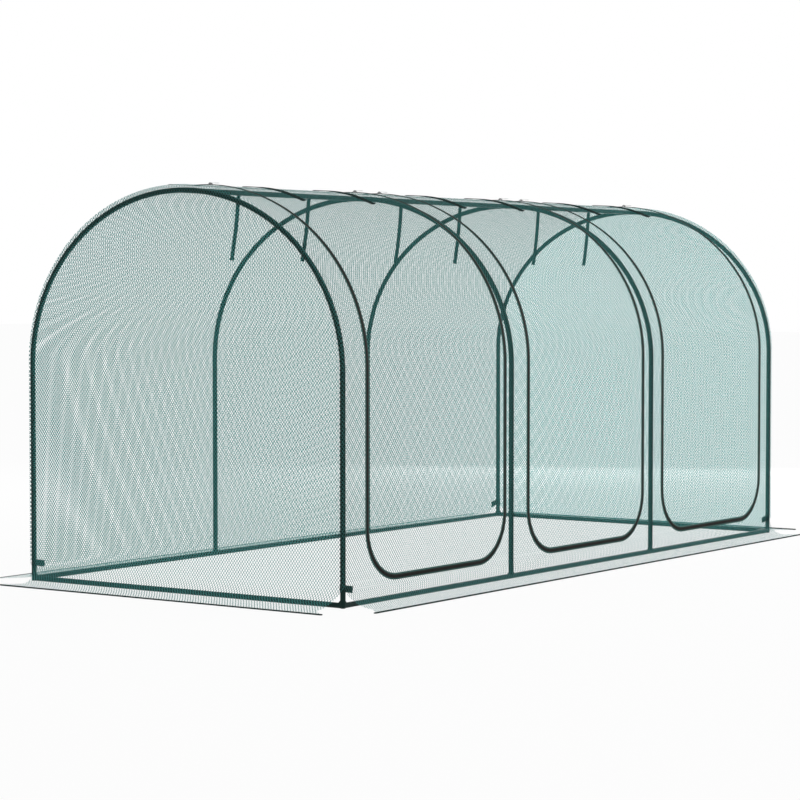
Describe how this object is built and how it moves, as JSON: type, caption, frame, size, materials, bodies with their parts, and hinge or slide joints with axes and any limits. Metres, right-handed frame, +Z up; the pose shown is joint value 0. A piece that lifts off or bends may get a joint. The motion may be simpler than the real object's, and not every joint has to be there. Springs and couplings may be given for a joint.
{
  "type": "fruit cage",
  "caption": "Tunnel-shaped net fruit cage on a tube frame, with zipped roll-up doors along one side and ground skirts.",
  "frame": {"origin": "middle of the footprint, on the ground", "axes": "+X along the tunnel, -Y the side with the doors, +Z up"},
  "size_m": [3.0206, 1.4906, 1.2354],
  "materials": {
    "frame_tube": "satin dark green powder coat",
    "net": "knitted green mesh",
    "webbing": "woven black-green tape",
    "zip": "dark coil on tape",
    "zip_slider": "black enamel"
  },
  "bodies": {
    "frame": {"hoop_1_front": "frame_tube", "hoop_1_back": "frame_tube", "hoop_2_front": "frame_tube", "hoop_2_back": "frame_tube", "hoop_3_front": "frame_tube", "hoop_3_back": "frame_tube", "hoop_4_front": "frame_tube", "hoop_4_back": "frame_tube", "foot_left_front": "frame_tube", "foot_left_back": "frame_tube", "foot_right_front": "frame_tube", "foot_right_back": "frame_tube", "foot_hoop_2_front": "frame_tube", "foot_hoop_2_back": "frame_tube", "foot_hoop_3_front": "frame_tube", "foot_hoop_3_back": "frame_tube", "base_rail_front_1": "frame_tube", "base_rail_front_2": "frame_tube", "base_rail_front_3": "frame_tube", "base_rail_back_1": "frame_tube", "base_rail_back_2": "frame_tube", "base_rail_back_3": "frame_tube", "base_rail_left": "frame_tube", "base_rail_right": "frame_tube", "ridge_tube_1": "frame_tube", "ridge_tube_2": "frame_tube", "ridge_tube_3": "frame_tube", "net_back": "net", "net_front": "net", "net_end_left": "net", "net_end_right": "net", "inner_strap_1_left": "webbing", "inner_strap_1_right": "webbing", "inner_strap_2_left": "webbing", "inner_strap_2_right": "webbing", "inner_strap_3_left": "webbing", "inner_strap_3_right": "webbing", "foot_strap_left_front": "webbing", "foot_strap_left_back": "webbing", "foot_strap_right_front": "webbing", "foot_strap_right_back": "webbing"},
    "door_1": {"door_1_net": "net", "door_1_zip": "zip", "outer_tie_1_left": "webbing", "outer_tie_1_right": "webbing"},
    "slider_1_left": {"zip_slider_1_left": "zip_slider"},
    "slider_1_right": {"zip_slider_1_right": "zip_slider"},
    "door_2": {"door_2_net": "net", "door_2_zip": "zip", "outer_tie_2_left": "webbing", "outer_tie_2_right": "webbing"},
    "slider_2_left": {"zip_slider_2_left": "zip_slider"},
    "slider_2_right": {"zip_slider_2_right": "zip_slider"},
    "door_3": {"door_3_net": "net", "door_3_zip": "zip", "outer_tie_3_left": "webbing", "outer_tie_3_right": "webbing"},
    "slider_3_left": {"zip_slider_3_left": "zip_slider"},
    "slider_3_right": {"zip_slider_3_right": "zip_slider"}
  },
  "joints": [
    {"name": "door_1_lift", "type": "hinge", "parent": "frame", "child": "door_1", "pos_m": [-0.873, 0.03, 1.23034], "axis": [-1, 0, 0], "range_deg": [0, 110]},
    {"name": "zip_1_left_slide", "type": "hinge", "parent": "door_1", "child": "slider_1_left", "pos_m": [-1.2435, 0, 0.54357], "axis": [1, 0, 0], "range_deg": [0, 28]},
    {"name": "zip_1_right_slide", "type": "hinge", "parent": "door_1", "child": "slider_1_right", "pos_m": [-0.5025, 0, 0.54357], "axis": [1, 0, 0], "range_deg": [0, 28]},
    {"name": "door_2_lift", "type": "hinge", "parent": "frame", "child": "door_2", "pos_m": [0.006, 0.03, 1.23034], "axis": [-1, 0, 0], "range_deg": [0, 110]},
    {"name": "zip_2_left_slide", "type": "hinge", "parent": "door_2", "child": "slider_2_left", "pos_m": [-0.3645, 0, 0.54357], "axis": [1, 0, 0], "range_deg": [0, 28]},
    {"name": "zip_2_right_slide", "type": "hinge", "parent": "door_2", "child": "slider_2_right", "pos_m": [0.3765, 0, 0.54357], "axis": [1, 0, 0], "range_deg": [0, 28]},
    {"name": "door_3_lift", "type": "hinge", "parent": "frame", "child": "door_3", "pos_m": [0.885, 0.03, 1.23034], "axis": [-1, 0, 0], "range_deg": [0, 110]},
    {"name": "zip_3_left_slide", "type": "hinge", "parent": "door_3", "child": "slider_3_left", "pos_m": [0.5145, 0, 0.54357], "axis": [1, 0, 0], "range_deg": [0, 28]},
    {"name": "zip_3_right_slide", "type": "hinge", "parent": "door_3", "child": "slider_3_right", "pos_m": [1.2555, 0, 0.54357], "axis": [1, 0, 0], "range_deg": [0, 28]}
  ]
}
